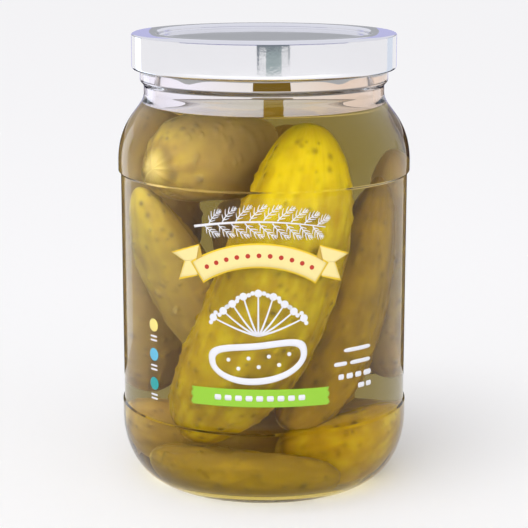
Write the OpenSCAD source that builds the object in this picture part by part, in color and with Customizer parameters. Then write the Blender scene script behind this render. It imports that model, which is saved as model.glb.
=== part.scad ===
// Pint pickle jar: blown glass jar, brine, clear printed film and metal twist-off lid.
// Every piece is a solid of revolution about +Z and the jar stands on z = 0.

/* [Jar] */
// Radius of the recessed label panel
panel_r = 40.15; // [36:0.05:50]
// Height of the label panel
panel_h = 64.5; // [45:0.5:85]
// How far the heel band stands out past the panel
heel_out = 0.45; // [0.3:0.05:1.2]
// How far the shoulder contact band stands out past the panel
shoulder_out = 0.7; // [0.3:0.05:1.2]
// Height over which each band runs into the panel
band_step_h = 0.9; // [0.5:0.1:1.5]
// Height of the straight heel band
heel_band_h = 4.3; // [1:0.1:8]
// Height of the straight shoulder contact band
shoulder_band_h = 2.1; // [1:0.1:4]
// Height of the curve from the shoulder band to the neck
shoulder_h = 19.4; // [14:0.1:26]

/* [Heel and base] */
// Radial reach of the heel's curve
heel_reach = 12.3; // [8:0.1:16]
// Height of the heel's curve
heel_h = 18.2; // [12:0.1:24]
// Width of the flat bearing ring the jar stands on
bearing_w = 2; // [1:0.1:4]
// Rise of the push-up in the middle of the base
punt_h = 1.8; // [1:0.1:3]

/* [Glass walls] */
// Wall thickness at the label panel
wall = 2.1; // [1.8:0.1:3.2]
// Wall thickness of the neck and the mouth
neck_wall = 2.95; // [2.2:0.05:3.6]
// Height of the inside floor at its edge above the table
base_t = 3.8; // [3.5:0.1:8]
// Rounding of the sealing rim's edges
rim_round = 1; // [0.4:0.1:1.1]

/* [Neck] */
// Outer radius of the neck
neck_r = 33.45; // [27:0.05:37]
// Height of the plain neck under the bead
neck_h = 1.8; // [0.5:0.1:6]
// How far the bead under the lid stands out past the neck
bead_out = 1.05; // [0.5:0.05:1.3]
// Height of the bead's full section
bead_h = 2.4; // [1.5:0.1:3]
// Height over which the bead runs into the neck
bead_run_h = 1.8; // [1:0.1:3]

/* [Brine] */
// Height from the brine's surface up to the sealing rim
headspace = 20.5; // [10:0.1:40]
// Gap that keeps the brine's solid off the glass
brine_gap = 0.05; // [0.02:0.01:0.2]

/* [Label film] */
// Thickness of the clear printed film
film_t = 0.2; // [0.1:0.05:0.3]
// Gap for the film's adhesive
film_gap = 0.05; // [0.02:0.01:0.1]
// Margin between the film and each end of the panel
film_margin = 1; // [0.5:0.1:5]
// Angle at the back that the film leaves bare
film_seam = 3; // [1:0.5:20]

/* [Lid] */
// Height of the lid from its curled edge to its top ring
lid_h = 10.2; // [7:0.1:13]
// Thickness of the lid's sheet metal
sheet_t = 0.3; // [0.2:0.05:0.5]
// Gap between the bead and the inside of the skirt
skirt_gap = 1.95; // [1.8:0.05:3]
// Gap between the bead and the curled edge above it
curl_gap = 0.5; // [0.3:0.1:1]
// Radius of the lid's rounded top edge
lid_round = 1.4; // [0.8:0.1:2]
// Outer radius of the curled bottom edge's roll
curl_r = 0.85; // [0.6:0.05:1]
// Gap between the recessed centre panel's wall and the mouth
recess_gap = 0.75; // [0.3:0.05:4]
// Depth of the recessed centre panel
recess_h = 1.3; // [1.2:0.1:2.5]
// Bend radius where the recess meets the ring and the panel
recess_round = 0.6; // [0.4:0.05:0.65]

/* [Hidden] */

// Points in each curve of an outline
curve_n = 14;
bend_n = 6;
$fn = 96;

// Heights that follow from the sizes above, from the table upwards
panel_z0 = heel_h + heel_band_h + band_step_h;
panel_z1 = panel_z0 + panel_h;
shoulder_z0 = panel_z1 + band_step_h + shoulder_band_h;
shoulder_z1 = shoulder_z0 + shoulder_h;
bead_z0 = shoulder_z1 + neck_h + bead_run_h;
bead_z1 = bead_z0 + bead_h;
lid_bottom_z = bead_z1 + curl_gap;
lid_top_z = lid_bottom_z + lid_h;
rim_z = lid_top_z - sheet_t;
brine_z = rim_z - headspace;

// Radii that follow from the sizes above
heel_r = panel_r + heel_out;
shoulder_r = panel_r + shoulder_out;
bead_r = neck_r + bead_out;
inner_r = panel_r - wall;
mouth_r = neck_r - neck_wall;
bearing_r = heel_r - heel_reach;

// The inside follows the outside of the heel and the shoulder at the wall's thickness
inner_heel_h = heel_h - wall;
inner_heel_reach = heel_reach - wall / 2;
inner_shoulder_z0 = shoulder_z0 - wall / 2;

// Shares of the shoulder's height that its curve stays upright at the band and at the neck
shoulder_pull = 0.647;
neck_pull = 0.233;

// How far round the curled edge rolls
curl_angle = 250;

function mix(a, b, t) = a + (b - a) * t;

// A quarter of an ellipse that starts flat at (r, z) and ends upright
function heel_curve(r, z, reach, rise) =
    [for (i = [0 : curve_n]) let (a = 90 * i / curve_n)
        [r + reach * sin(a), z + rise * (1 - cos(a))]];

// A cubic curve that is upright at both ends
function shoulder_curve(r0, z0, r1, z1) =
    let (h = z1 - z0, pts = [[r0, z0], [r0, z0 + shoulder_pull * h], [r1, z1 - neck_pull * h], [r1, z1]])
    [for (i = [0 : curve_n]) let (t = i / curve_n, s = 1 - t)
        s * s * s * pts[0] + 3 * s * s * t * pts[1] + 3 * s * t * t * pts[2] + t * t * t * pts[3]];

// A soft step between two radii, upright at both ends
function soft_step(r0, z0, r1, z1) =
    [for (i = [0 : bend_n]) let (t = i / bend_n)
        [mix(r0, r1, t * t * (3 - 2 * t)), mix(z0, z1, t)]];

// An arc about (r, z) from one angle to another
function arc(r, z, radius, a0, a1, n = bend_n) =
    [for (i = [0 : n]) let (a = mix(a0, a1, i / n)) [r + radius * cos(a), z + radius * sin(a)]];

// A dome that is level in the middle and meets the bearing ring's inner edge
function punt_curve(radius, rise) =
    [for (i = [0 : curve_n]) let (t = i / curve_n) [radius * t, rise * (1 - t * t) * (1 - t * t)]];

function reversed(list) = [for (i = [len(list) - 1 : -1 : 0]) list[i]];

// A strip of sheet metal: an outline half the thickness to each side of a path,
// whose first point lies on the axis
function sheet(path, t) =
    let (last = len(path) - 1,
         normals = [for (i = [0 : last])
             let (d = path[min(i + 1, last)] - path[max(i - 1, 0)]) [-d[1], d[0]] / norm(d)])
    concat([for (i = [0 : last]) path[i] + normals[i] * t / 2],
           [for (i = [last : -1 : 0]) path[i] - normals[i] * t / 2]);

// Outside of the glass, from the middle of the base to the top of the sealing rim
function jar_outside() = concat(
    punt_curve(bearing_r - bearing_w, punt_h),
    heel_curve(bearing_r, 0, heel_reach, heel_h),
    soft_step(heel_r, panel_z0 - band_step_h, panel_r, panel_z0),
    soft_step(panel_r, panel_z1, shoulder_r, panel_z1 + band_step_h),
    shoulder_curve(shoulder_r, shoulder_z0, neck_r, shoulder_z1),
    soft_step(neck_r, bead_z0 - bead_run_h, bead_r, bead_z0),
    soft_step(bead_r, bead_z1, neck_r, bead_z1 + bead_run_h),
    arc(neck_r - rim_round, rim_z - rim_round, rim_round, 0, 90));

// Inside of the glass, from the middle of the floor up into the neck, a gap in from the wall
function cavity(gap) = concat(
    [[0, base_t + gap]],
    heel_curve(inner_r - inner_heel_reach, base_t + gap, inner_heel_reach - gap, inner_heel_h),
    shoulder_curve(inner_r - gap, inner_shoulder_z0, mouth_r - gap, shoulder_z1));

module jar() {
    color([0.85, 0.9, 0.9, 0.35])
        rotate_extrude()
            polygon(concat(
                jar_outside(),
                arc(mouth_r + rim_round, rim_z - rim_round, rim_round, 90, 180),
                reversed(cavity(0))));
}

module brine() {
    color([0.55, 0.47, 0.25, 0.8])
        intersection() {
            rotate_extrude()
                polygon(concat(cavity(brine_gap), [[mouth_r - brine_gap, rim_z], [0, rim_z]]));
            cylinder(r = panel_r, h = brine_z);
        }
}

module label() {
    color([1, 1, 1, 0.3])
        translate([0, 0, panel_z0 + film_margin])
            rotate([0, 0, 90 + film_seam / 2])
                rotate_extrude(angle = 360 - film_seam)
                    translate([panel_r + film_gap, 0])
                        square([film_t, panel_h - 2 * film_margin]);
}

module lid() {
    // Places on the middle of the sheet's thickness
    half = sheet_t / 2;
    top_z = lid_top_z - half;
    skirt_r = bead_r + skirt_gap + half;
    edge_round = lid_round - half;
    roll_r = curl_r - half;
    recess_r = mouth_r - recess_gap - half;
    // Centre panel, recess wall, top ring, rounded edge, skirt and curled edge
    path = concat(
        [[0, top_z - recess_h]],
        arc(recess_r - recess_round, top_z - recess_h + recess_round, recess_round, -90, 0),
        arc(recess_r + recess_round, top_z - recess_round, recess_round, 180, 90),
        arc(skirt_r - edge_round, top_z - edge_round, edge_round, 90, 0),
        arc(skirt_r - roll_r, lid_bottom_z + curl_r, roll_r, 0, -curl_angle, 2 * bend_n));
    color([0.85, 0.85, 0.88])
        rotate_extrude()
            polygon(sheet(path, sheet_t));
}

jar();
brine();
label();
lid();
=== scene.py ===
"""A pint glass jar of whole pickles in brine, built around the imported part.

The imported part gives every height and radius. Each piece here is a surface worked out as whole arrays
over a grid of two parameters: a profile carried round the jar's axis, a skin carried along a bent pickle,
or a flat drawing laid on the label panel.
"""

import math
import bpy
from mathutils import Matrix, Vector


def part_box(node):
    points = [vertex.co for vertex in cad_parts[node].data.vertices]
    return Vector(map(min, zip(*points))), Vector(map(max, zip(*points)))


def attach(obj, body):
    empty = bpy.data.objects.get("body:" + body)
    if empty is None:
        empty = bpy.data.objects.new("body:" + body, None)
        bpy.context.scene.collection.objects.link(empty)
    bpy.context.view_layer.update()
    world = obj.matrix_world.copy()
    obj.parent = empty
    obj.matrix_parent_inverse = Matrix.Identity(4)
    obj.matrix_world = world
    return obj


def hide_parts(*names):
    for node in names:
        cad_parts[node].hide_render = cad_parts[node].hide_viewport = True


bl_info = {
    "name": "Pickle Jar",
    "version": (1, 0, 0),
    "blender": (4, 5, 0),
    "location": "View3D > Sidebar > Pickle Jar",
    "description": "Builds a glass jar of whole pickles in brine, with a printed film and a metal lid",
    "category": "Object",
}

import bpy
import numpy as np
from bpy.props import FloatProperty, FloatVectorProperty, IntProperty, PointerProperty
from mathutils import Vector

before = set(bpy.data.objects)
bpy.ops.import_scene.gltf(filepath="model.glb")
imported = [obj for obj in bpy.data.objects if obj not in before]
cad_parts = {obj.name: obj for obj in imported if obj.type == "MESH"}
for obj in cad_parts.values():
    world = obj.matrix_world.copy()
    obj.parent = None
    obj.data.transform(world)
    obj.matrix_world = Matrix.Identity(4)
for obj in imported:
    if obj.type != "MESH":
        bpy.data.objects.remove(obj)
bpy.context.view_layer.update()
MM = 0.001
BODY = "root"
ROUND = 240  # columns round the jar, the brine and the lid
FLOOR_POINTS = 12  # points of the cavity's outline that lie on the floor
FILM_SHEET = 0.05 * MM
LAYER_GAP = 0.01 * MM  # between one layer of ink and the next
SEAM = 1.5  # degrees, half the gap between the film's two ends

JAR_LOW, JAR_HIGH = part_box("jar")
BRINE_LOW, BRINE_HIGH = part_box("brine")
FILM_LOW, FILM_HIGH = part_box("label")
LID_LOW, LID_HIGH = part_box("lid")


# ------------------------------------------------------------------ sizes and colours


def length(name, description, default):
    """A size in metres that a user can change."""
    return FloatProperty(name=name, description=description, default=default, unit="LENGTH", precision=5)


def colour(name, description, default):
    """A linear colour that a user can change."""
    return FloatVectorProperty(
        name=name, description=description, default=default, subtype="COLOR", size=3, min=0, max=1
    )


class GlassSizes(bpy.types.PropertyGroup):
    wall: length("Wall", "Thickness of the glass at the label panel", 2.1 * MM)
    neck_wall: length("Neck wall", "Thickness of the glass at the mouth", 2.95 * MM)
    floor: length("Floor", "Height of the inside floor above the table", BRINE_LOW[2] - 0.05 * MM)
    panel_inset: length("Panel inset", "Depth of the label panel under the shoulder band", 0.7 * MM)
    heel_out: length("Heel band", "How far the heel band stands out past the panel", 0.45 * MM)
    step: length("Step", "Height over which a band runs into the panel", 0.9 * MM)
    heel_band: length("Heel band height", "Height of the straight heel band", 4.3 * MM)
    shoulder_band: length("Shoulder band height", "Height of the straight shoulder band", 2.1 * MM)
    shoulder: length("Shoulder height", "Height of the curve from the band to the neck", 19.4 * MM)
    heel_reach: length("Heel reach", "Radial reach of the heel's curve", 12.3 * MM)
    heel: length("Heel height", "Height of the heel's curve", 18.2 * MM)
    bearing: length("Bearing ring", "Width of the flat ring the jar stands on", 2.0 * MM)
    push_up: length("Push-up", "Rise of the middle of the base", 1.8 * MM)
    bead_out: length("Bead", "How far the bead under the lid stands out past the neck", 1.05 * MM)
    bead: length("Bead height", "Height of the bead's full section", 2.4 * MM)
    bead_run: length("Bead run", "Height over which the bead runs into the neck", 1.8 * MM)
    neck: length("Neck height", "Height of the plain neck under the bead", 1.8 * MM)
    lid_to_bead: length("Lid to bead", "From the lid's outside in to the bead", 2.25 * MM)
    curl_gap: length("Curl gap", "From the bead up to the lid's curled edge", 0.5 * MM)
    rim_round: length("Rim rounding", "Rounding of the sealing rim's edges", 1.0 * MM)


class BrineLook(bpy.types.PropertyGroup):
    bite: length("Bite", "How far the brine reaches into the wall, so that no air shows", 0.15 * MM)
    meniscus: length("Meniscus", "How far the brine climbs the wall", 0.4 * MM)
    meniscus_width: length("Meniscus width", "Width over which it climbs", 1.5 * MM)
    density: FloatProperty(name="Density", description="Strength of the brine's tint", default=38.0, min=0)
    tint: colour("Tint", "Colour of the light that passes through the brine", (0.8, 0.69, 0.14))


class PickleLook(bpy.types.PropertyGroup):
    along: IntProperty(name="Rows", description="Grid rows along a pickle", default=200, min=24)
    round: IntProperty(name="Columns", description="Grid columns round a pickle", default=150, min=16)
    warts: IntProperty(name="Warts", description="Warts on a pickle as long as 90 mm", default=480, min=0)
    wart_height: length("Wart height", "Height of a wart", 0.5 * MM)
    clearance: length("Clearance", "Smallest gap between a pickle and the glass", 0.25 * MM)
    yellow: colour("Yellow", "Bright skin", (0.66, 0.525, 0.01))
    gold: colour("Gold", "Darker skin", (0.43, 0.285, 0.006))
    brown: colour("Brown", "Darkest skin", (0.25, 0.16, 0.008))
    speck: colour("Speck", "Specks at the warts", (0.17, 0.115, 0.012))
    scar: colour("Scar", "Where the stem was", (0.85, 0.7, 0.25))
    # Painted haze: a pale veil of light scattered in the brine, painted into the colour of skin that lies
    # deep behind the glass. On some pickles its share also lightens skin that lies in shade.
    haze: colour("Haze", "What a pickle deep in the brine fades towards", (0.62, 0.54, 0.48))
    haze_depth: length("Haze depth", "Depth behind the glass at which most of the haze has set in", 8 * MM)


class PrintLook(bpy.types.PropertyGroup):
    ink: length("Ink", "Thickness of the print", 0.03 * MM)
    white: colour("White", "White ink", (0.8, 0.8, 0.84))
    cream: colour("Cream", "Ribbon", (0.92, 0.76, 0.32))
    gold: colour("Gold", "Ribbon's edges", (0.9, 0.62, 0.02))
    red: colour("Red", "Dots on the ribbon", (0.5, 0.03, 0.01))
    shade: colour("Fold", "Shaded folds of the ribbon", (0.6, 0.38, 0.04))
    green: colour("Green", "Strip", (0.3, 0.6, 0.03))
    yellow: colour("Yellow", "Upper disc", (0.93, 0.78, 0.22))
    blue: colour("Blue", "Middle disc", (0.12, 0.5, 0.72))
    teal: colour("Teal", "Lower disc", (0.01, 0.36, 0.36))


class LidSizes(bpy.types.PropertyGroup):
    sheet: length("Sheet", "Thickness of the metal", 0.3 * MM)
    edge: length("Edge", "How far the ring falls towards the skirt before it turns down", 0.9 * MM)
    curl: length("Curl", "Radius of the curled bottom edge", 0.85 * MM)
    recess: length("Recess radius", "Radius of the recessed panel", 29.6 * MM)
    depth: length("Recess depth", "Depth of the recessed panel", 1.3 * MM)
    bend: length("Bend", "Bend radius of the recess", 0.6 * MM)
    crown: length("Crown", "How far the ring falls towards the recess before it turns down", 0.65 * MM)
    metal: colour("Metal", "Bright tinplate", (0.88, 0.88, 0.9))


# ------------------------------------------------------------------ curves and surfaces


def angles(a0, a1, count):
    """Angles in a row for the columns of a grid, from two angles in degrees."""
    return np.linspace(math.radians(a0), math.radians(a1), count)[None, :]


def round_grid(r, a, z):
    """Points (r cos a, r sin a, z), for columns and rows that are spread over one grid."""
    return np.stack(np.broadcast_arrays(r * np.cos(a), r * np.sin(a), z), axis=-1)


def mix(a, b, t):
    """a at t = 0 and b at t = 1."""
    return a + (b - a) * t


def smooth(t):
    """Rises from 0 to 1 with level ends: 3 t^2 - 2 t^3."""
    t = np.clip(t, 0, 1)
    return t * t * (3 - 2 * t)


def bulge(value):
    """The value's sign with its size to the power 0.8."""
    return np.sign(value) * np.abs(value) ** 0.8


def points(r, z):
    """Rows of (r, z)."""
    return np.stack(np.broadcast_arrays(r, z), axis=-1).astype(float)


def quarter_ellipse(r, z, reach, rise, count=40):
    """Starts level at (r, z) and ends upright.

    For a from 0 to 90 degrees it goes through (r + reach sin a, z + rise (1 - cos a)).
    """
    a = np.linspace(0, math.pi / 2, count)
    return points(r + reach * np.sin(a), z + rise * (1 - np.cos(a)))


def cubic(r0, z0, r1, z1, pull0=0.647, pull1=0.233, count=60):
    """A Bezier curve that is upright at both ends, where its handles are those shares of its height."""
    t = np.linspace(0, 1, count)[:, None]
    s = 1 - t
    h = z1 - z0
    ends = np.array([[r0, z0], [r0, z0 + pull0 * h], [r1, z1 - pull1 * h], [r1, z1]])
    return s**3 * ends[0] + 3 * s * s * t * ends[1] + 3 * s * t * t * ends[2] + t**3 * ends[3]


def soft_step(r0, z0, r1, z1, count=14):
    """Goes from one radius to another, upright at both ends: r follows smooth(t) as z rises evenly."""
    t = np.linspace(0, 1, count)
    return points(mix(r0, r1, smooth(t)), mix(z0, z1, t))


def arc(r, z, radius, a0, a1, count=12):
    """Part of a circle about (r, z), between two angles in degrees."""
    a = np.radians(np.linspace(a0, a1, count))
    return points(r + radius * np.cos(a), z + radius * np.sin(a))


def hump(r0, r1, z, fall0, fall1, count=48):
    """A bow that stands upright at both radii and is level at z half way between them.

    At angle p from -90 to 90 degrees the radius goes with bulge(sin p), and the fall from z with
    1 - (cos p)^0.8.
    """
    p = np.linspace(-math.pi / 2, math.pi / 2, count)
    r = (r0 + r1) / 2 + (r1 - r0) / 2 * bulge(np.sin(p))
    return points(r, z - np.where(p < 0, fall0, fall1) * (1 - bulge(np.clip(np.cos(p), 0, 1))))


def straight(r, z0, z1, count=24):
    """An upright line."""
    return points(r, np.linspace(z0, z1, count))


def joined(*parts):
    """One outline from several, without the points that two neighbours share."""
    line = np.concatenate(parts)
    apart = np.linalg.norm(np.diff(line, axis=0), axis=1) > 1e-7
    return line[np.concatenate([[True], apart])]


def skin(grid, wrap):
    """Vertices and faces over grid[i, j]: row i lies along the shape, column j round or across it.

    With wrap the last column joins the first, and a first or last row that has shrunk to a point is one
    pole vertex. Faces point to the side where (step along j) x (step along i) points.
    """
    low_pole = wrap and np.ptp(grid[0], axis=0).max() < 1e-9
    high_pole = wrap and np.ptp(grid[-1], axis=0).max() < 1e-9
    body = grid[int(low_pole) : len(grid) - int(high_pole)]
    rows, columns = body.shape[:2]
    index = np.arange(rows * columns).reshape(rows, columns)
    after = np.roll(index, -1, axis=1) if wrap else index[:, 1:]
    here = index if wrap else index[:, :-1]
    faces = [np.stack([here[:-1], after[:-1], after[1:], here[1:]], axis=-1).reshape(-1, 4)]
    verts = body.reshape(-1, 3)
    if low_pole:
        pole = np.full(columns, len(verts))
        faces.append(np.stack([pole, after[0], here[0]], axis=-1))
        verts = np.vstack([verts, grid[0, :1]])
    if high_pole:
        pole = np.full(columns, len(verts))
        faces.append(np.stack([here[-1], after[-1], pole], axis=-1))
        verts = np.vstack([verts, grid[-1, :1]])
    return verts, faces


def joined_mesh(name, skins):
    """One mesh from several skins: their vertices in a row, and each face's corners moved on to match."""
    verts, faces, base = [], [], 0
    for own_verts, own_faces in skins:
        for block in own_faces:
            faces += (block + base).tolist()
        verts.append(own_verts)
        base += len(own_verts)
    mesh = bpy.data.meshes.new(name)
    mesh.from_pydata(np.concatenate(verts).tolist(), [], faces)
    mesh.polygons.foreach_set("use_smooth", np.ones(len(mesh.polygons), bool))
    mesh.update()
    return mesh


def surface(name, grid, wrap):
    """A mesh over one grid."""
    return joined_mesh(name, [skin(grid, wrap)])


def pole_order(grid):
    """The grid's values in the order of skin()'s vertices: the rows between the poles, then the poles."""
    return np.concatenate([grid[1:-1].reshape(-1, *grid.shape[2:]), grid[0, :1], grid[-1, :1]])


def revolve(name, outline):
    """A solid of revolution: the outline's (r, z) at every angle a gives (r cos a, r sin a, z)."""
    a = np.linspace(0, 2 * math.pi, ROUND, endpoint=False)
    return surface(name, round_grid(outline[:, :1], a, outline[:, 1:]), wrap=True)


def add_object(name, data):
    """Puts a mesh, a lamp or a camera into the scene."""
    obj = bpy.data.objects.new(name, data)
    bpy.context.scene.collection.objects.link(obj)
    return obj


def piece(mesh, material, slot, *nodes):
    """Puts a mesh into the scene as a piece of the part, standing for these CAD nodes."""
    obj = add_object(mesh.name, mesh)
    mesh.materials.append(material)
    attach(obj, BODY)
    if nodes:
        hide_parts(*nodes)
    return obj


# ------------------------------------------------------------------ outlines


class Outline:
    """The jar's heights and radii, worked out upwards from the table and downwards from the lid."""

    def __init__(self, s):
        self.rim_z = JAR_HIGH[2]
        self.shoulder_r = JAR_HIGH[0]
        self.panel_r = self.shoulder_r - s.panel_inset
        self.heel_r = self.panel_r + s.heel_out
        self.inner_r = self.panel_r - s.wall
        self.bead_r = LID_HIGH[0] - s.lid_to_bead
        self.neck_r = self.bead_r - s.bead_out
        self.mouth_r = self.neck_r - s.neck_wall
        self.bearing_r = self.heel_r - s.heel_reach
        self.bead_z1 = LID_LOW[2] - s.curl_gap
        self.bead_z0 = self.bead_z1 - s.bead
        self.shoulder_z1 = self.bead_z0 - s.bead_run - s.neck
        self.shoulder_z0 = self.shoulder_z1 - s.shoulder
        self.panel_z1 = self.shoulder_z0 - s.shoulder_band - s.step
        self.panel_z0 = s.heel + s.heel_band + s.step
        self.s = s

    def cavity(self, reach=0.0):
        """The glass's inside from the middle of the floor to the neck, moved into the wall by reach."""
        s = self.s
        heel_reach = s.heel_reach - s.wall / 2
        wall_r = self.inner_r + reach
        floor_z = s.floor - reach
        corner_r = self.inner_r - heel_reach
        heel_z = floor_z + s.heel - s.wall
        shoulder_z = self.shoulder_z0 - s.wall / 2
        return joined(
            points(np.linspace(0, corner_r, FLOOR_POINTS), floor_z),
            quarter_ellipse(corner_r, floor_z, heel_reach + reach, s.heel - s.wall),
            straight(wall_r, heel_z, shoulder_z),
            cubic(wall_r, shoulder_z, self.mouth_r + reach, self.shoulder_z1),
        )

    def outside(self):
        """The outside of the glass from the middle of the base to the sealing rim's top."""
        s = self.s
        ring_r = self.bearing_r - s.bearing
        t = np.linspace(0, 1, 24)
        return joined(
            points(ring_r * t, s.push_up * (1 - t * t) ** 2),
            quarter_ellipse(self.bearing_r, 0, s.heel_reach, s.heel),
            soft_step(self.heel_r, self.panel_z0 - s.step, self.panel_r, self.panel_z0),
            straight(self.panel_r, self.panel_z0, self.panel_z1),
            soft_step(self.panel_r, self.panel_z1, self.shoulder_r, self.panel_z1 + s.step),
            cubic(self.shoulder_r, self.shoulder_z0, self.neck_r, self.shoulder_z1),
            soft_step(self.neck_r, self.bead_z0 - s.bead_run, self.bead_r, self.bead_z0),
            soft_step(self.bead_r, self.bead_z1, self.neck_r, self.bead_z1 + s.bead_run),
            arc(self.neck_r - s.rim_round, self.rim_z - s.rim_round, s.rim_round, 0, 90),
        )

    def inside_radius(self, z):
        """The inside wall's radius at a height."""
        wall = self.cavity()[FLOOR_POINTS:]
        return np.interp(z, wall[:, 1], wall[:, 0])


# ------------------------------------------------------------------ materials


class Shader:
    """A new material and short ways to add and link its nodes."""

    def __init__(self, name):
        self.material = bpy.data.materials.new(name)
        self.material.use_nodes = True
        self.tree = self.material.node_tree
        self.bsdf = self.tree.nodes["Principled BSDF"]
        self.output = self.tree.nodes["Material Output"]

    def set(self, **values):
        """Sets the Principled shader's own sockets; _ in a name stands for a space."""
        for name, value in values.items():
            self.bsdf.inputs[name.replace("_", " ")].default_value = value

    def add(self, kind, **values):
        """A node with its properties set."""
        node = self.tree.nodes.new(kind)
        for name, value in values.items():
            setattr(node, name, value)
        return node

    def link(self, source, target):
        self.tree.links.new(source, target)

    def attribute(self, name):
        return self.add("ShaderNodeAttribute", attribute_name=name)

    def place(self):
        """Where a point lies on the object."""
        return self.add("ShaderNodeTexCoord").outputs["Object"]

    def math(self, operation, a, b):
        """A Math node; a and b are numbers or sockets."""
        node = self.add("ShaderNodeMath", operation=operation)
        for socket, value in zip(node.inputs, (a, b)):
            if isinstance(value, (int, float)):
                socket.default_value = value
            else:
                self.link(value, socket)
        return node.outputs[0]

    def blend(self, share, a, b):
        """A colour mix; share, a and b are values or sockets."""
        node = self.add("ShaderNodeMix", data_type="RGBA")
        for socket, value in ((node.inputs[0], share), (node.inputs[6], a), (node.inputs[7], b)):
            if isinstance(value, bpy.types.NodeSocket):
                self.link(value, socket)
            elif isinstance(value, (int, float)):
                socket.default_value = value
            else:
                socket.default_value = (*value, 1)
        return node.outputs[2]

    def mottle(self, vector, scale, detail, middle=0.5, spread=0.1):
        """The shared effect's node, placed on a vector; see mottle_group for its values."""
        node = self.add("ShaderNodeGroup", node_tree=mottle_group())
        self.link(vector, node.inputs["Vector"])
        for name, value in (("Scale", scale), ("Detail", detail), ("Middle", middle), ("Spread", spread)):
            node.inputs[name].default_value = value
        return node

    def gloss(self, vector, *mottle):
        """Roughness from the shared effect."""
        self.link(self.mottle(vector, *mottle).outputs["Value"], self.bsdf.inputs["Roughness"])

    def uneven(self, shade, dim, scale, detail, share):
        """A base colour with spots that go up to twice a share of the way to dim times that colour."""
        spots = self.mottle(self.place(), scale, detail, share, share)
        tone = self.blend(spots.outputs["Value"], tuple(shade), tuple(dim * c for c in shade))
        self.link(tone, self.bsdf.inputs["Base Color"])

    def bump(self, height, strength, distance):
        """Fine relief from a height."""
        node = self.add("ShaderNodeBump")
        node.inputs["Strength"].default_value = strength
        node.inputs["Distance"].default_value = distance
        self.link(height, node.inputs["Height"])
        self.link(node.outputs[0], self.bsdf.inputs["Normal"])

    def lets_lamps_through(self, tint):
        """Clear matter lets shadow rays pass, so that lamps light what is inside."""
        path = self.add("ShaderNodeLightPath")
        clear = self.add("ShaderNodeBsdfTransparent")
        clear.inputs["Color"].default_value = (*tint, 1)
        either = self.add("ShaderNodeMixShader")
        self.link(path.outputs["Is Shadow Ray"], either.inputs[0])
        self.link(self.bsdf.outputs[0], either.inputs[1])
        self.link(clear.outputs[0], either.inputs[2])
        self.link(either.outputs[0], self.output.inputs["Surface"])


def mottle_group():
    """A shared effect: soft noise that spreads values about a middle.

    Value = Middle + Spread (noise - 0.5) x 2, for roughness and tone. Height is the same noise from 0 to 1,
    for bump.
    """
    if "Mottle" in bpy.data.node_groups:
        return bpy.data.node_groups["Mottle"]
    group = bpy.data.node_groups.new("Mottle", "ShaderNodeTree")
    face = group.interface
    face.new_socket("Vector", in_out="INPUT", socket_type="NodeSocketVector")
    for name, default in (("Scale", 100.0), ("Detail", 3.0), ("Middle", 0.5), ("Spread", 0.1)):
        face.new_socket(name, in_out="INPUT", socket_type="NodeSocketFloat").default_value = default
    face.new_socket("Value", in_out="OUTPUT", socket_type="NodeSocketFloat")
    face.new_socket("Height", in_out="OUTPUT", socket_type="NodeSocketFloat")
    add, link = group.nodes.new, group.links.new
    given, result = add("NodeGroupInput"), add("NodeGroupOutput")
    noise, spread = add("ShaderNodeTexNoise"), add("ShaderNodeMapRange")
    low, high = add("ShaderNodeMath"), add("ShaderNodeMath")
    low.operation, high.operation = "SUBTRACT", "ADD"
    for node in (low, high):
        link(given.outputs["Middle"], node.inputs[0])
        link(given.outputs["Spread"], node.inputs[1])
    spread.inputs["From Min"].default_value = 0.3
    spread.inputs["From Max"].default_value = 0.7
    for key in ("Vector", "Scale", "Detail"):
        link(given.outputs[key], noise.inputs[key])
    link(noise.outputs[0], spread.inputs["Value"])
    link(low.outputs[0], spread.inputs["To Min"])
    link(high.outputs[0], spread.inputs["To Max"])
    link(spread.outputs[0], result.inputs["Value"])
    link(noise.outputs[0], result.inputs["Height"])
    return group


def glass_material():
    """Clear container glass with a very faint ripple from its mould."""
    glass = Shader("Jar glass")
    glass.set(Base_Color=(0.985, 0.99, 0.985, 1), Roughness=0.0, IOR=1.5, Transmission_Weight=1.0)
    glass.set(Specular_Tint=(0.12, 0.12, 0.13, 1))
    ripple = glass.mottle(glass.place(), 90.0, 1.0)
    glass.bump(ripple.outputs["Height"], 0.05, 0.2 * MM)
    glass.lets_lamps_through((0.97, 0.975, 0.97))
    return glass.material


def brine_material(look):
    """Olive-yellow liquid that takes the blue out of the light that crosses it."""
    brine = Shader("Brine")
    brine.set(Base_Color=(1, 1, 1, 1), Roughness=0.0, IOR=1.34, Transmission_Weight=1.0)
    brine.set(Specular_Tint=(0.05, 0.05, 0.05, 1))
    tint = brine.add("ShaderNodeVolumeAbsorption")
    tint.inputs["Color"].default_value = (*look.tint, 1)
    tint.inputs["Density"].default_value = look.density
    brine.link(tint.outputs[0], brine.output.inputs["Volume"])
    brine.lets_lamps_through((1, 1, 1))
    return brine.material


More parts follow.
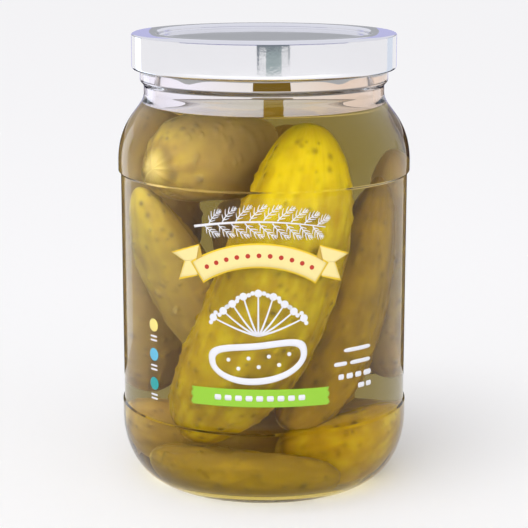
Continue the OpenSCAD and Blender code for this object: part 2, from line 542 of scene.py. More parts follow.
def pickle_material(look):
    """Wet skin: yellow to brown blotches and lengthwise streaks, dark specks, a pale stem scar and painted
    haze, a pale veil of light scattered in the brine; the tone it reads holds painted shade and light too.
    """
    flesh = Shader("Pickle skin")
    along = flesh.attribute("skin").outputs["Vector"]
    blotches = flesh.mottle(flesh.place(), 190.0, 5.0, 0.0, 0.2)
    streaks = flesh.mottle(along, 320.0, 3.0, 0.0, 0.18)
    # the tone attribute is the skin's own colour with painted shade and light in it
    tone = flesh.math("ADD", flesh.attribute("tone").outputs["Fac"], blotches.outputs["Value"])
    tone = flesh.math("ADD", tone, streaks.outputs["Value"])
    ramp = flesh.add("ShaderNodeValToRGB")
    ramp.color_ramp.elements[0].color = (*look.yellow, 1)
    ramp.color_ramp.elements[1].color = (*look.brown, 1)
    ramp.color_ramp.elements.new(0.5).color = (*look.gold, 1)
    flesh.link(tone, ramp.inputs[0])
    spotted = flesh.blend(flesh.attribute("speck").outputs["Fac"], ramp.outputs[0], tuple(look.speck))
    scarred = flesh.blend(flesh.attribute("scar").outputs["Fac"], spotted, tuple(look.scar))
    # painted haze: a pale veil of light scattered in the brine, painted over deeper skin
    hazed = flesh.blend(flesh.attribute("haze").outputs["Fac"], scarred, tuple(look.haze))
    flesh.link(hazed, flesh.bsdf.inputs["Base Color"])
    flesh.gloss(along, 160.0, 2.0, 0.3, 0.1)
    flesh.bump(streaks.outputs["Height"], 0.5, 0.4 * MM)
    flesh.set(Specular_IOR_Level=0.06, Specular_Tint=(1, 0.85, 0.4, 1))
    flesh.set(Subsurface_Weight=0.3, Subsurface_Radius=(1.0, 0.75, 0.1), Subsurface_Scale=3 * MM)
    return flesh.material


def film_material():
    """Clear film that only its gloss gives away."""
    film = Shader("Clear film")
    film.set(Base_Color=(0.95, 0.95, 0.96, 1), Alpha=0.008, Specular_IOR_Level=0.3)
    film.gloss(film.place(), 60.0, 2.0, 0.12, 0.04)
    return film.material


def ink_material(name, shade):
    """Opaque ink with a faint unevenness in its tone and gloss."""
    ink = Shader(name)
    ink.uneven(shade, 0.82, 900.0, 2.0, 0.06)
    ink.gloss(ink.place(), 300.0, 2.0, 0.38, 0.06)
    return ink.material


def lid_material(look):
    """Bright lacquered tinplate with a faint orange-peel bump."""
    metal = Shader("Lid tinplate")
    metal.set(Metallic=0.92)
    metal.uneven(look.metal, 0.93, 70.0, 3.0, 0.1)
    metal.gloss(metal.place(), 130.0, 3.0, 0.06, 0.03)
    peel = metal.mottle(metal.place(), 1400.0, 1.0)
    metal.bump(peel.outputs["Height"], 0.05, 0.05 * MM)
    return metal.material


# ------------------------------------------------------------------ the jar, the brine and the lid


class PICKLEJAR_OT_glass(bpy.types.Operator):
    """Make the glass jar"""

    bl_idname = "pickle_jar.glass"
    bl_label = "Glass jar"

    def execute(self, context):
        s = context.scene.jar_glass
        shape = Outline(s)
        rim = arc(shape.mouth_r + s.rim_round, shape.rim_z - s.rim_round, s.rim_round, 90, 180)
        line = joined(shape.outside(), rim, shape.cavity()[::-1])
        piece(revolve("glass_jar", line), glass_material(), "glass", "jar")
        return {"FINISHED"}


class PICKLEJAR_OT_brine(bpy.types.Operator):
    """Make the brine, which reaches just into the wall and climbs it a little"""

    bl_idname = "pickle_jar.brine"
    bl_label = "Brine"

    def execute(self, context):
        look = context.scene.jar_brine
        shape = Outline(context.scene.jar_glass)
        wall = shape.cavity(look.bite)
        top_z = BRINE_HIGH[2] + look.meniscus
        edge_r = np.interp(top_z, wall[FLOOR_POINTS:, 1], wall[FLOOR_POINTS:, 0])
        side = wall[wall[:, 1] < top_z - 0.05 * MM]
        r = edge_r * np.sin(np.linspace(math.pi / 2, 0, 80))
        top = points(r, BRINE_HIGH[2] + look.meniscus * np.exp(-(edge_r - r) / look.meniscus_width))
        top[-1, 0] = 0
        mesh = revolve("brine_liquid", joined(side, top))
        piece(mesh, brine_material(look), "brine", "brine")
        return {"FINISHED"}


class PICKLEJAR_OT_lid(bpy.types.Operator):
    """Make the metal lid as one bent sheet: panel, recess wall, ring, edge, skirt and curl"""

    bl_idname = "pickle_jar.lid"
    bl_label = "Lid"

    def execute(self, context):
        s = context.scene.jar_lid
        half = s.sheet / 2
        top = LID_HIGH[2] - half
        skirt_r = LID_HIGH[0] - half
        edge, roll, recess = s.edge - half, s.curl - half, s.recess
        path = joined(
            points(np.linspace(0, recess - s.bend, 30), top - s.depth),
            arc(recess - s.bend, top - s.depth + s.bend, s.bend, -90, 0),
            hump(recess, skirt_r, top, s.crown, edge),
            straight(skirt_r, top - edge, LID_LOW[2] + s.curl, 20),
            arc(skirt_r - roll, LID_LOW[2] + s.curl, roll, 0, -250, 30),
        )
        way = np.gradient(path, axis=0)
        normal = np.stack([-way[:, 1], way[:, 0]], axis=-1)
        normal /= np.linalg.norm(normal, axis=1, keepdims=True)
        outline = np.concatenate([path + normal * half, (path - normal * half)[::-1]])
        outline[[0, -1], 0] = 0
        mesh = revolve("twist_off_lid", outline[::-1])
        piece(mesh, lid_material(s), "lid_metal", "lid")
        return {"FINISHED"}


# ------------------------------------------------------------------ pickles

# Each pickle: the lower tip, the point that bends it and the upper tip, then its girth, all in
# millimetres from the middle of the jar's base. Then how blunt its ends are, and its tone at the lower and
# the upper tip, from 0 yellow to 1 brown. The tone is partly the skin's own colour and partly painted shade
# and light, set darker or lighter where a pickle lies in more or less light. Last comes the share of
# painted haze, a pale veil of light scattered in the brine, that the pickle takes on there deep in the
# brine; a larger share also lightens some pickles that lie in shade.
PICKLES = {
    "front": ((-19, -15.5, 16.5), (7, -28, 54), (11, -19.5, 101.5), 14.8, 3.0, (0.38, -0.15), (0.0, 0.0)),
    "upper_left": ((-27.5, -19, 91.5), (-15, -7, 91.5), (2, 5, 91.5), 10.0, 2.2, (0.42, 0.38), (0.5, 1.0)),
    "left": ((1, 3, 30), (-18, -5, 53), (-30, -10, 85.5), 8.8, 2.6, (0.15, 0.05), (0.9, 0.5)),
    "right": ((3.5, -13, 19.5), (23, -15, 32), (25.5, -4, 88), 8.8, 2.6, (0.7, 1.0), (0.0, 0.05)),
    "low_right": ((2.5, -13, 11.5), (20, -15, 12), (33, -3, 19), 8.8, 2.6, (0.5, 0.2), (0.0, 0.0)),
    "low_front": ((-28, -13, 10), (-7, -33, 7), (19, -22, 7.5), 7.2, 2.6, (1.0, 1.0), (0.2, 0.1)),
    "low_left": ((-31, 4, 17), (-16, -1, 13), (12, 5, 12), 8.5, 2.6, (0.5, 0.6), (0.4, 0.5)),
    "low_back": ((-14, 24, 14), (6, 22, 11), (26, 12, 13), 8, 2.6, (0.3, 0.4), (0.8, 0.8)),
    "back_left": ((-22, 14, 22), (-24, 18, 60), (-20, 17, 97), 10, 2.6, (0.35, 0.35), (0.9, 0.9)),
    "back": ((4, 25, 22), (8, 29, 50), (4, 26, 88), 10.5, 2.8, (0.4, 0.3), (0.9, 0.9)),
    "back_right": ((25, 12, 26), (29, 15, 55), (25, 11, 90), 9.5, 2.6, (0.4, 0.45), (0.9, 0.9)),
    "middle": ((9, 7, 34), (0, 9, 58), (-5, 11, 82), 9.5, 2.6, (0.6, 0.6), (0.5, 0.6)),
}

USUAL_LENGTH = 90 * MM  # the pickle that the number of warts and the rates of the waves are given for
USUAL_GIRTH = 13 * MM
PLEATS = 13  # creases round the stem's tip, and how far they reach along the skin
PLEAT_REACH = 7 * MM
SCAR_REACH = 1.1 * MM
COLLAR = 2.3 * MM  # from the stem's tip to the brown collar round its scar
COLLAR_WIDTH = 0.9 * MM
CLEAR_DEPTH = 2.5 * MM  # depth behind the glass up to which a skin shows no painted haze
SOFTNESS = 0.5 * MM  # how gently a skin flattens where it meets the glass


def fade(distance, width):
    """A bell: exp(-(distance / width)^2)."""
    return np.exp(-((distance / width) ** 2))


def pickle_frame(lower, bend, upper, rows):
    """A quadratic curve between the tips with two directions across it.

    The point at t is (1-t)^2 lower + 2 t (1-t) bend + t^2 upper. Rows are closer together at the tips.
    """
    t = 0.5 - 0.5 * np.cos(np.linspace(0, math.pi, rows))[:, None]
    centre = (1 - t) ** 2 * lower + 2 * t * (1 - t) * bend + t * t * upper
    way = 2 * (1 - t) * (bend - lower) + 2 * t * (upper - bend)
    way /= np.linalg.norm(way, axis=1, keepdims=True)
    across = np.cross(way, np.cross(upper - lower, (0.3, 1.0, 0.2)))
    across /= np.linalg.norm(across, axis=1, keepdims=True)
    return t[:, 0], centre, across, np.cross(way, across)


def waves(a, u, rng, orders, rates, count):
    """Sums sine waves of random order round and rate along, each as strong as its share of the whole."""
    total = 0
    for _ in range(count):
        order, rate, phase = rng.integers(*orders), rng.uniform(*rates), rng.uniform(0, 2 * math.pi)
        total = total + np.sin(order * a + rng.choice([-1, 1]) * rate * u + phase)
    return total / math.sqrt(count)


def pickle_mesh(name, spec, look, shape, seed):
    """One pickle: a bumpy skin round a bent middle line.

    Radius = girth x (1 - |2t - 1|^blunt)^0.5 x (1 + three faint sides + broad and small waves), with
    pleats towards the stem, where a pleat is sin(13 a) fading with the distance from the tip. A wart at
    distance d adds height x exp(-(d / width)^2), and a speck of 0.8 times its width. The skin then
    flattens against the glass.

    The skin's colour reads these: tone goes from the lower tip's value to the upper one's with t^6, and
    is browner in a collar 2.3 mm from the stem's tip; the tone is partly the skin's own colour and partly
    painted shade and light. The scar fades within 1.1 mm of that tip. Painted haze, a pale veil of light
    scattered in the brine, = share x (1 - exp(-(depth - 2.5 mm) / haze depth)), where depth is measured
    inwards from the glass.
    """
    lower, bend, upper = (np.array(p) * MM for p in spec[:3])
    girth, blunt = spec[3] * MM, spec[4]
    rng = np.random.default_rng(seed)
    t, centre, across, out = pickle_frame(lower, bend, upper, look.along)
    a = np.linspace(0, 2 * math.pi, look.round, endpoint=False)
    span = np.linalg.norm(np.diff(centre, axis=0), axis=1).sum()
    ends = np.clip(1 - np.abs(2 * t - 1) ** blunt, 0, 1)[:, None] ** 0.5
    from_stem = t[:, None] * span
    u = from_stem / USUAL_LENGTH
    lumps = 0.03 * np.sin(3 * a + rng.uniform(0, 6) + 1.5 * u)
    lumps = lumps + 0.03 * waves(a, u, rng, (1, 4), (4, 12), 4)
    lumps = lumps + 0.018 * waves(a, u, rng, (4, 12), (15, 60), 16)
    lumps = lumps + 0.03 * fade(from_stem, PLEAT_REACH) * np.sin(PLEATS * a)
    radius = girth * ends * (1 + lumps)
    ring = across[:, None] * np.cos(a)[:, None] + out[:, None] * np.sin(a)[:, None]
    smooth_skin = centre[:, None] + radius[..., None] * ring
    count = int(look.warts * span / USUAL_LENGTH * girth / USUAL_GIRTH)
    rows_at = np.searchsorted(t, rng.uniform(0.03, 0.97, count))
    columns_at = rng.integers(0, look.round, count)
    width = rng.uniform(0.45, 1.1, count) * MM
    height = look.wart_height * rng.uniform(0.2, 1.3, count)
    darkness = rng.uniform(0.1, 1.0, count) ** 1.7
    warts = np.zeros_like(radius)
    speck = np.zeros_like(radius)
    for k in range(count):
        d2 = ((smooth_skin - smooth_skin[rows_at[k], columns_at[k]]) ** 2).sum(axis=-1)
        warts += height[k] * np.exp(-d2 / width[k] ** 2)
        speck += darkness[k] * np.exp(-d2 / (0.8 * width[k]) ** 2)
    grid = smooth_skin + (warts * ends)[..., None] * ring
    grid[0], grid[-1] = centre[0], centre[-1]
    grid = against_glass(grid, shape, look.clearance)
    mesh = surface(name, grid, wrap=True)
    depth = shape.inside_radius(grid[..., 2]) - np.hypot(grid[..., 0], grid[..., 1])
    # painted haze: a pale veil of light scattered in the brine, painted into the colour of deeper skin
    share = mix(*spec[6], t[:, None])
    haze = share * (1 - np.exp(-np.clip(depth - CLEAR_DEPTH, 0, None) / look.haze_depth))
    collar = 0.45 * fade(from_stem - COLLAR, COLLAR_WIDTH)
    # tone: the skin's own colour, with painted shade and light in the tip values, which are set darker or
    # lighter where a pickle lies in more or less light
    tone = np.broadcast_to(mix(*spec[5], t[:, None] ** 6) + collar, radius.shape)
    scar = np.broadcast_to(fade(from_stem, SCAR_REACH), radius.shape)
    for key, values in (("speck", np.clip(speck, 0, 1)), ("haze", haze), ("tone", tone), ("scar", scar)):
        set_values(mesh, key, pole_order(values))
    unrolled = round_grid(girth, a, 0.22 * from_stem) + seed * girth
    set_values(mesh, "skin", pole_order(unrolled), "FLOAT_VECTOR", "vector")
    return mesh


def against_glass(grid, shape, gap):
    """Presses points inwards softly where they would pass the wall or the floor.

    The kept distance from the axis is a soft minimum of the point's own and the wall's less the gap.
    """
    r = np.hypot(grid[..., 0], grid[..., 1])
    limit = shape.inside_radius(grid[..., 2]) - gap
    kept = limit - SOFTNESS * np.logaddexp(0, (limit - r) / SOFTNESS)
    grid[..., :2] *= (np.minimum(kept, r) / np.maximum(r, 1e-6))[..., None]
    floor = shape.s.floor + gap
    grid[..., 2] = floor + SOFTNESS * np.logaddexp(0, (grid[..., 2] - floor) / SOFTNESS)
    return grid


def set_values(mesh, name, values, kind="FLOAT", field="value"):
    """Stores one value or vector at each vertex under a name."""
    layer = mesh.attributes.new(name, kind, "POINT")
    layer.data.foreach_set(field, np.ascontiguousarray(values, dtype=np.float32).ravel())


class PICKLEJAR_OT_pickles(bpy.types.Operator):
    """Make the whole pickles that stand and lie in the brine"""

    bl_idname = "pickle_jar.pickles"
    bl_label = "Pickles"

    def execute(self, context):
        look = context.scene.jar_pickles
        shape = Outline(context.scene.jar_glass)
        material = pickle_material(look)
        for seed, (name, spec) in enumerate(PICKLES.items(), start=11):
            piece(pickle_mesh(f"pickle_{name}", spec, look, shape, seed), material, "pickle_skin")
        return {"FINISHED"}


# ------------------------------------------------------------------ film and print


def on_film(across, up, lift):
    """Lays a drawing on the film: across is the distance round from the front, up the height."""
    r = FILM_HIGH[0] + lift
    a = across / FILM_HIGH[0]
    return np.stack(np.broadcast_arrays(r * np.sin(a), -r * np.cos(a), up), axis=-1)


def stroke(x, z, width):
    """A brush stroke's grid along (x, z), as wide as width at each point; its rows run across it."""
    dx, dz = np.gradient(x), np.gradient(z)
    size = np.maximum(np.hypot(dx, dz), 1e-12)
    side = np.linspace(-0.5, 0.5, 3)[:, None]
    return x - side * width * dz / size, z + side * width * dx / size


def bar(x0, x1, z, height):
    """A plain bar with round ends: its half height at t is height/2 x (1 - |2t-1|^8)^0.5."""
    t = np.linspace(0, 1, 25)
    half = 0.5 * height * np.sqrt(1 - np.abs(2 * t - 1) ** 8)
    rows = np.linspace(-1, 1, 3)[:, None]
    return mix(x0, x1, t) + 0 * rows, z + rows * half


def corners(p00, p01, p11, p10, count=7):
    """A four-cornered field: a bilinear grid between its corners."""
    u = np.linspace(0, 1, count)[None, :, None]
    v = np.linspace(0, 1, count)[:, None, None]
    p = mix(mix(np.array(p00), np.array(p01), u), mix(np.array(p10), np.array(p11), u), v)
    return p[..., 0], p[..., 1]


def disc(x, z, radius, count=40):
    """A round field: rows are rings from the middle outwards."""
    a = -np.linspace(0, 2 * math.pi, count, endpoint=False)
    r = np.linspace(0, radius, 5)[:, None]
    return x + r * np.cos(a), z + r * np.sin(a)


def field(drawing, lift, wrap=False):
    """A drawn field's skin on the film; drawings are in millimetres."""
    x, z = drawing
    return skin(on_film(x * MM, z * MM, lift), wrap)


# The ribbon is bent about a point this far from the film's middle and foot, in millimetres.
RIBBON_X, RIBBON_Z, RIBBON_R = -1.3, 42.0, 29.8
RIBBON_HALF = 3.3


def ribbon_point(turn, rho=RIBBON_R):
    """A point at an angle from the ribbon's top and a distance from the point it is bent about."""
    return RIBBON_X + rho * np.sin(turn), RIBBON_Z + rho * np.cos(turn)


def ribbon_band(inset):
    """The arched ribbon: an even band of a circle's ring, narrower by an inset on every side."""
    turn = math.radians(34.6) - inset / RIBBON_R
    rho = np.linspace(RIBBON_R - RIBBON_HALF + inset, RIBBON_R + RIBBON_HALF - inset, 5)[:, None]
    return ribbon_point(np.linspace(-turn, turn, 61)[None, :], rho)


def beside_ribbon(side, *given):
    """A four-cornered field beside the ribbon; on the left, where side is -1, it is mirrored."""
    p = [(RIBBON_X + side * x, z) for x, z in given]
    return corners(*(p if side > 0 else (p[1], p[0], p[3], p[2])))


def ribbon_tail(side, inset):
    """One swallow tail beside the ribbon, as two fields that meet at its notch."""
    middle, notch = (16.6, 69.8), (20.9 - inset, 69.2)
    tip_top, tip_low = (25.2 - 2 * inset, 71.2 - 0.6 * inset), (22.7 - inset, 63.9 + 2 * inset)
    upper = beside_ribbon(side, middle, notch, tip_top, (16.2, 74.2 - inset))
    return [upper, beside_ribbon(side, (16.8, 65.6 + inset), tip_low, notch, middle)]


def ribbon_fold(side):
    """The shaded fold between a tail and the band."""
    return beside_ribbon(side, (17.2, 69.6), (16.2, 74.2), (14.2, 67.2), (14.9, 64.3))


def strip_field():
    """The plain strip with torn ends: each end's edge is moved by a few sine waves along its height."""
    u = np.linspace(0, 1, 61)[None, :]
    z = np.linspace(-1, 1, 17)[:, None]
    torn = 0.25 * np.sin(7 * z) + 0.12 * np.sin(17 * z + 1)
    left, right = -20.1 - torn, 17.9 + torn
    return mix(left, right, u), 33.1 - 0.25 * (2 * u - 1) ** 2 + 2.45 * z


def walk(x, z, lean, reach):
    """A line from (x, z) that takes equal steps along the given angles, reach long in all."""
    step = reach / len(lean)
    return x + np.cumsum(np.cos(lean)) * step, z + np.cumsum(np.sin(lean)) * step


# Each pair of leaves on a side stem: the point of the stem it grows from, its lean in radians, its length.
LEAVES = ((2, 0.9, 1.6), (5, 0.8, 2.0), (8, 0.65, 1.9), (11, 0.5, 1.5), (13, 0.25, 1.1))


def frond():
    """A dill frond: a long bowed stem with pairs of side stems, each ending in a spray of hair-fine leaves.

    The side stems are shorter towards both ends of the frond and curl forwards, and so do the leaves.
    """
    t = np.linspace(0, 1, 60)
    s = np.linspace(0, 1, 14)
    q = np.linspace(0, 1, 8)
    x, z = mix(-19, 16.5, t), 76.1 + 4.6 * np.sin(math.pi * (0.2 + 0.6 * t))
    strokes = [stroke(x, z, mix(0.7, 0.25, t))]
    for k in range(6, 59, 6):
        for side in (-1, 1):
            at = k + side
            reach = 5.6 * math.sin(math.pi * (0.16 + 0.74 * at / 60)) ** 0.7
            lean = math.atan2(z[at] - z[at - 1], x[at] - x[at - 1]) + side * (1.0 - 0.5 * s)
            bx, bz = walk(x[at], z[at], lean, reach)
            strokes.append(stroke(bx, bz, mix(0.36, 0.16, s)))
            for j, turn, size in LEAVES:
                for twig in (-1, 1):
                    hair = walk(bx[j], bz[j], lean[j] + twig * turn * (1 - 0.35 * q), size)
                    strokes.append(stroke(*hair, mix(0.3, 0.14, q)))
    return strokes


def umbel():
    """A dill flower head: thin stalks that fan out from one point, each with a round bud."""
    strokes, buds = [], []
    foot_x, foot_z = -1.5, 50.2
    for k in range(9):
        lean = math.radians(-64 + 16 * k)
        reach = 10.6 + 0.9 * math.cos(4 * lean)
        t = np.linspace(0, 1, 16)
        x = foot_x + 1.3 * reach * np.sin(lean) * t**0.8
        z = foot_z + reach * np.cos(lean) * t
        strokes.append(stroke(x, z, mix(0.55, 0.4, t)))
        buds.append(disc(x[-1], z[-1], 1.05, count=24))
        for step in (-1.5, 1.5):
            buds.append(disc(x[-1] + step * math.cos(lean), z[-1] - step * math.sin(lean), 0.6, count=18))
    return strokes, buds


GHERKIN_TILT = math.radians(6)


def gherkin_outline():
    """A bold ring in the shape of a gherkin lying on its side.

    At angle a the edge is (13.3 |cos a|^0.8, 5.7 |sin a|^0.8) with their signs, tilted and bowed.
    """
    a = -np.linspace(0, 2 * math.pi, 120, endpoint=False)
    shrink = np.linspace(0, 1, 4)[:, None]
    half_x, half_z = mix(11.5, 13.3, shrink), mix(3.9, 5.7, shrink)
    x = half_x * bulge(np.cos(a))
    z = half_z * bulge(np.sin(a)) + 0.012 * x * x - 1.0
    c, s = math.cos(GHERKIN_TILT), math.sin(GHERKIN_TILT)
    return -1.6 + x * c - z * s, 43.6 + x * s + z * c


# The discs at the left: their ink's name and their height on the film.
DISCS = (("yellow", 49.9), ("blue", 41.7), ("teal", 33.5))

# Rows of short bars in place of small print: height on the film, a bar's height, and the bars' ends.
SMALL_ROWS = (
    (44.6, 1.15, ((22.4, 32.0),)),
    (41.0, 1.15, ((19.4, 23.6), (24.5, 32.0))),
    (37.4, 1.5, ((20.8, 22.6), (23.4, 25.6), (26.4, 28.6), (29.4, 32.3))),
    (34.2, 1.4, ((27.4, 29.8), (30.4, 32.4))),
)


class PICKLEJAR_OT_film(bpy.types.Operator):
    """Make the clear film round the label panel"""

    bl_idname = "pickle_jar.film"
    bl_label = "Clear film"

    def execute(self, context):
        z = np.array([[FILM_LOW[2]], [FILM_HIGH[2]]])
        grid = round_grid(FILM_HIGH[0], angles(90 + SEAM, 450 - SEAM, 241), z)
        film = piece(surface("clear_film", grid, wrap=False), film_material(), "film", "label")
        thicken(film, FILM_SHEET)
        return {"FINISHED"}


def thicken(obj, thickness):
    """Gives a sheet its thickness inwards."""
    solid = obj.modifiers.new("Thickness", "SOLIDIFY")
    solid.thickness = thickness
    solid.offset = -1


class PICKLEJAR_OT_print(bpy.types.Operator):
    """Make the print: ribbon, dill drawings, strip, discs and rows of bars"""

    bl_idname = "pickle_jar.print"
    bl_label = "Print"

    def execute(self, context):
        look = context.scene.jar_print
        layer = look.ink + LAYER_GAP
        marks = tuple((f"disc_{name}", z, getattr(look, name)) for name, z in DISCS)
        sides = (-1, 1)

        def ink(name, shade, drawings, level=1, rounds=(), paint=None):
            fields = [field(d, level * layer) for d in drawings]
            fields += [field(d, level * layer, wrap=True) for d in rounds]
            material = ink_material(f"Ink {paint or name}", shade)
            thicken(piece(joined_mesh(f"print_{name}", fields), material, "print_ink"), look.ink)

        ink("ribbon_tail_edges", look.gold, [f for side in sides for f in ribbon_tail(side, 0.0)])
        ink("ribbon_tails", look.cream, [f for side in sides for f in ribbon_tail(side, 0.35)], 2)
        ink("ribbon_folds", look.shade, [ribbon_fold(side) for side in sides], 3)
        ink("ribbon_edges", look.gold, [ribbon_band(0.0)], 3)
        ink("ribbon", look.cream, [ribbon_band(0.45)], 4)
        ink("strip", look.green, [strip_field()])
        turns = np.radians(np.linspace(-28, 28, 11))
        ink("ribbon_dots", look.red, [], 5, [disc(*ribbon_point(turn), 0.62, count=20) for turn in turns])
        ink("strip_bars", look.white, [bar(x, x + 1.9, 33.05, 1.5) for x in np.linspace(-13.4, 9.2, 9)], 2)
        stalks, buds = umbel()
        dots = [disc(-9.5 + 2.7 * k, 42.2 + 0.28 * k + 1.3 * (-1) ** k, 0.55, count=20) for k in range(7)]
        ink("frond", look.white, frond())
        ink("umbel", look.white, stalks, 1, buds)
        ink("gherkin", look.white, [], 1, dots)
        ink("gherkin_ring", look.white, [], 1, [gherkin_outline()], "ring")
        for name, height, shade in marks:
            ink(name, shade, [], 1, [disc(-33.6, height, 1.8)])
        notes = [bar(-35.0, -32.2, z - drop, 0.55) for _, z, _ in marks for drop in (3.1, 4.2)]
        notes += [bar(*ends, z, height) for z, height, words in SMALL_ROWS for ends in words]
        ink("notes", look.white, notes)
        return {"FINISHED"}


# ------------------------------------------------------------------ stage


# The soft lamps: name, place, size and power; each faces AIM.
LAMPS = (
    ("key", (-0.65, -0.8, 0.42), (0.8, 0.6), 1.6),
    ("fill", (0.75, -0.75, 0.3), (0.7, 0.5), 1.35),
    ("low fill", (0.2, -0.8, 0.04), (0.9, 0.3), 1.2),
)
AIM = (0, 0, 0.06)
LENS = 115.5
CAMERA_PLACE = (0, -0.4722, 0.1617)
CAMERA_DIP = 12.04  # degrees that the camera looks down
GLOSS, CLEAR = "glossy", "transmission"


def add_lamp(name, kind, energy):
    """A lamp that lights matter but is never seen in gloss."""
    lamp = bpy.data.lights.new(name, kind)
    lamp.energy = energy
    lamp.cycles.use_multiple_importance_sampling = False
    obj = add_object(name, lamp)
    obj.visible_glossy = False
    return obj


def studio_world():
    """White for the camera, and dimmer for gloss, for lit surfaces and behind clear matter.

    Each level goes over the ones before it: a ray that has passed clear matter may count as gloss too.
    """
    world = bpy.data.worlds.new("Studio")
    world.use_nodes = True
    new, link = world.node_tree.nodes.new, world.node_tree.links.new
    back = world.node_tree.nodes["Background"]
    path = new("ShaderNodeLightPath")
    strength = None
    for kind, high in (("Is Camera Ray", 1.0), ("Is Glossy Ray", 0.8), ("Is Transmission Ray", 0.4)):
        level = new("ShaderNodeMapRange")
        level.inputs["To Min"].default_value = 0.62
        level.inputs["To Max"].default_value = high
        if strength:
            link(strength, level.inputs["To Min"])
        link(path.outputs[kind], level.inputs["Value"])
        strength = level.outputs[0]
    link(strength, back.inputs["Strength"])
    back.inputs["Color"].default_value = (0.98, 0.97, 1.0, 1)
    world.cycles.sampling_method = "NONE"
    return world


def upright(x, y, z):
    """A flat card's grid that stands across the view, between two places in x and two heights."""
    x, z = np.array([x]), np.array([z]).T
    return np.stack(np.broadcast_arrays(x, float(y), z), axis=-1)


def curved(radius, a0, a1, count, z):
    """A card's grid that stands on part of a circle about the jar, between two heights."""
    return round_grid(radius, angles(a0, a1, count), np.array([z]).T)


def level_disc(radius, z, count):
    """A round card's grid that lies level, with a tiny hole in its middle."""
    return round_grid(np.array([[radius / 750], [radius]]), angles(90, 450, count), z)


def cards():
    """Each card's name, grid, colour, glow and the rays that see it."""
    grey, teal, sheet = (0.12, 0.15, 0.18), (0.28, 0.36, 0.36), (0.0545, 0.0635)
    dark, blue, violet = (0.02, 0.02, 0.04), (0.8, 0.88, 1.0), (0.5, 0.5, 0.78)
    return (
        ("front card", upright((-0.075, 0.29), -0.75, (0.052, 0.13)), grey, 1.0, GLOSS),
        ("front sheet left", upright((-0.052, 0.022), -0.745, sheet), (1, 1, 1), 1.0, GLOSS),
        ("front sheet right", upright((0.19, 0.268), -0.745, sheet), (1, 1, 1), 1.0, GLOSS),
        ("front sheet middle", upright((0.022, 0.19), -0.745, (0.0475, 0.0635)), teal, 1.0, GLOSS),
        ("left wing", upright((-0.046, -0.1), 0.1, (0.0, 0.1)), dark, 0.0, GLOSS),
        ("left wing glow", upright((-0.108, -0.16), 0.1, (0.0, 0.13)), blue, 1.7, GLOSS),
        ("left wing edge", upright((-0.038, -0.064), 0.1, (0.1, 0.18)), violet, 1.0, GLOSS),
        ("right wing", upright((0.046, 0.1), 0.1, (0.0, 0.1)), dark, 0.0, GLOSS),
        ("right wing glow", upright((0.108, 0.16), 0.1, (0.0, 0.13)), blue, 0.9, GLOSS),
        ("right wing edge", upright((0.038, 0.064), 0.1, (0.1, 0.18)), violet, 1.0, GLOSS),
        ("mat", level_disc(0.075, 0.0002, 65), (0.8, 0.6, 0.1), 0.8, CLEAR),
        ("backdrop ring", curved(0.6, 90, 450, 193, (0.035, 0.8)), (0.94, 0.9, 1.0), 1.0, CLEAR),
        ("amber gap", upright((-0.0005, 0.0175), 0.59, (0.14, 0.26)), (0.31, 0.185, 0.012), 1.0, CLEAR),
        ("dark gap", upright((-0.011, 0.027), 0.59, (0.035, 0.07)), (0.17, 0.1, 0.012), 1.0, CLEAR),
        ("front rail", curved(1.2, 195, 345, 65, (0.09, 0.24)), (0.2, 0.2, 0.42), 1.0, GLOSS),
        ("back wall", upright((-2.5, 2.5), 2.0, (0.15, 0.5)), (0.39, 0.4, 0.43), 1.0, GLOSS),
        ("ceiling", level_disc(2, 0.45, 193), (0.9, 0.91, 1.0), 0.85, GLOSS),
    )


def add_card(name, grid, shade, glow, seen_by):
    """A card beside the set that only gloss or only clear matter sees; glow is the light it gives off."""
    card = add_object(name, surface(name, grid, wrap=False))
    paper = Shader(name)
    paper.set(Base_Color=(0, 0, 0, 1) if glow else (*shade, 1), Roughness=1.0, Specular_IOR_Level=0.0)
    paper.set(Emission_Color=(*shade, 1), Emission_Strength=glow)
    card.data.materials.append(paper.material)
    card.visible_camera = card.visible_diffuse = card.visible_shadow = False
    card.visible_glossy = seen_by == GLOSS
    card.visible_transmission = seen_by == CLEAR
    return paper


def tint_sideways(paper):
    """Makes a card's light lavender at the left and peach at the right, over 0.2 m."""
    axes, span = paper.add("ShaderNodeSeparateXYZ"), paper.add("ShaderNodeMapRange")
    span.inputs["From Min"].default_value = -0.1
    span.inputs["From Max"].default_value = 0.1
    tint = paper.add("ShaderNodeValToRGB")
    tint.color_ramp.elements[0].color = (0.93, 0.88, 1, 1)
    tint.color_ramp.elements[1].color = (0.8, 0.62, 0.51, 1)
    tint.color_ramp.elements.new(0.5).color = (0.84, 0.78, 0.74, 1)
    paper.link(paper.place(), axes.inputs[0])
    paper.link(axes.outputs["X"], span.inputs["Value"])
    paper.link(span.outputs[0], tint.inputs[0])
    paper.link(tint.outputs[0], paper.bsdf.inputs["Emission Color"])


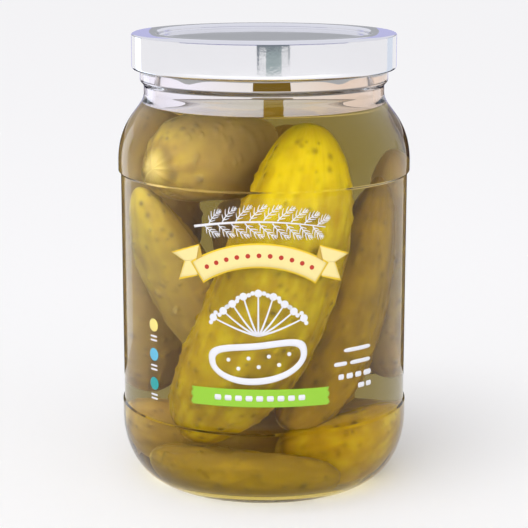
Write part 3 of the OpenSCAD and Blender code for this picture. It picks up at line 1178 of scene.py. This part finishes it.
class PICKLEJAR_OT_stage(bpy.types.Operator):
    """Make the pale floor, the soft lamps, the cards and the camera"""

    bl_idname = "pickle_jar.stage"
    bl_label = "Stage"

    def execute(self, context):
        scene = context.scene
        floor_grid = np.array([[[-6, -6, 0], [6, -6, 0]], [[-6, 6, 0], [6, 6, 0]]], float)
        floor = add_object("floor", surface("floor", floor_grid, wrap=False))
        paper = Shader("Floor paper")
        paper.gloss(paper.place(), 400.0, 2.0, 0.7, 0.05)
        paper.set(Base_Color=(0.95, 0.95, 0.95, 1), Specular_IOR_Level=0.0)
        floor.data.materials.append(paper.material)
        floor.visible_transmission = False
        scene.world = studio_world()

        for name, place, size, energy in LAMPS:
            lamp = add_lamp(name, "AREA", energy)
            lamp.data.shape = "RECTANGLE"
            lamp.data.size, lamp.data.size_y = size
            lamp.location = place
            lamp.rotation_euler = (Vector(AIM) - Vector(place)).to_track_quat("-Z", "Y").to_euler()
            lamp.visible_camera = False
        sun = add_lamp("sun", "SUN", 1.15)
        sun.data.angle = math.radians(40)
        sun.rotation_euler = (math.radians(18), math.radians(-12), 0)
        for name, *card in cards():
            paper = add_card(name, *card)
            if name == "backdrop ring":
                tint_sideways(paper)

        data = bpy.data.cameras.new("camera")
        data.sensor_width = 36
        data.lens = LENS
        camera = add_object("camera", data)
        camera.location = CAMERA_PLACE
        camera.rotation_euler = (math.radians(90 - CAMERA_DIP), 0, 0)
        scene.camera = camera
        scene.view_settings.view_transform = "Standard"
        scene.cycles.transparent_max_bounces = 32
        scene.cycles.transmission_bounces = 20
        scene.cycles.max_bounces = 24
        return {"FINISHED"}


# ------------------------------------------------------------------ the add-on


class PICKLEJAR_PT_panel(bpy.types.Panel):
    """Lists the pieces of the jar and their sizes"""

    bl_label = "Pickle Jar"
    bl_idname = "PICKLEJAR_PT_panel"
    bl_space_type = "VIEW_3D"
    bl_region_type = "UI"
    bl_category = "Pickle Jar"

    def draw(self, context):
        for operator in OPERATORS:
            self.layout.operator(operator.bl_idname)
        for name, group in SETTINGS.items():
            box = self.layout.box()
            box.label(text=name.replace("_", " "))
            for key in group.__annotations__:
                box.prop(getattr(context.scene, name), key)


OPERATORS = (
    PICKLEJAR_OT_stage,
    PICKLEJAR_OT_glass,
    PICKLEJAR_OT_brine,
    PICKLEJAR_OT_pickles,
    PICKLEJAR_OT_film,
    PICKLEJAR_OT_print,
    PICKLEJAR_OT_lid,
)
SETTINGS = {
    "jar_glass": GlassSizes,
    "jar_brine": BrineLook,
    "jar_pickles": PickleLook,
    "jar_print": PrintLook,
    "jar_lid": LidSizes,
}


def register():
    for item in (*SETTINGS.values(), *OPERATORS, PICKLEJAR_PT_panel):
        bpy.utils.register_class(item)
    for name, group in SETTINGS.items():
        setattr(bpy.types.Scene, name, PointerProperty(type=group))


def unregister():
    for name in SETTINGS:
        delattr(bpy.types.Scene, name)
    for item in reversed((*SETTINGS.values(), *OPERATORS, PICKLEJAR_PT_panel)):
        bpy.utils.unregister_class(item)


def main():
    """Builds every piece in order."""
    register()
    for operator in OPERATORS:
        family, name = operator.bl_idname.split(".")
        getattr(getattr(bpy.ops, family), name)()


if __name__ == "__main__":
    main()
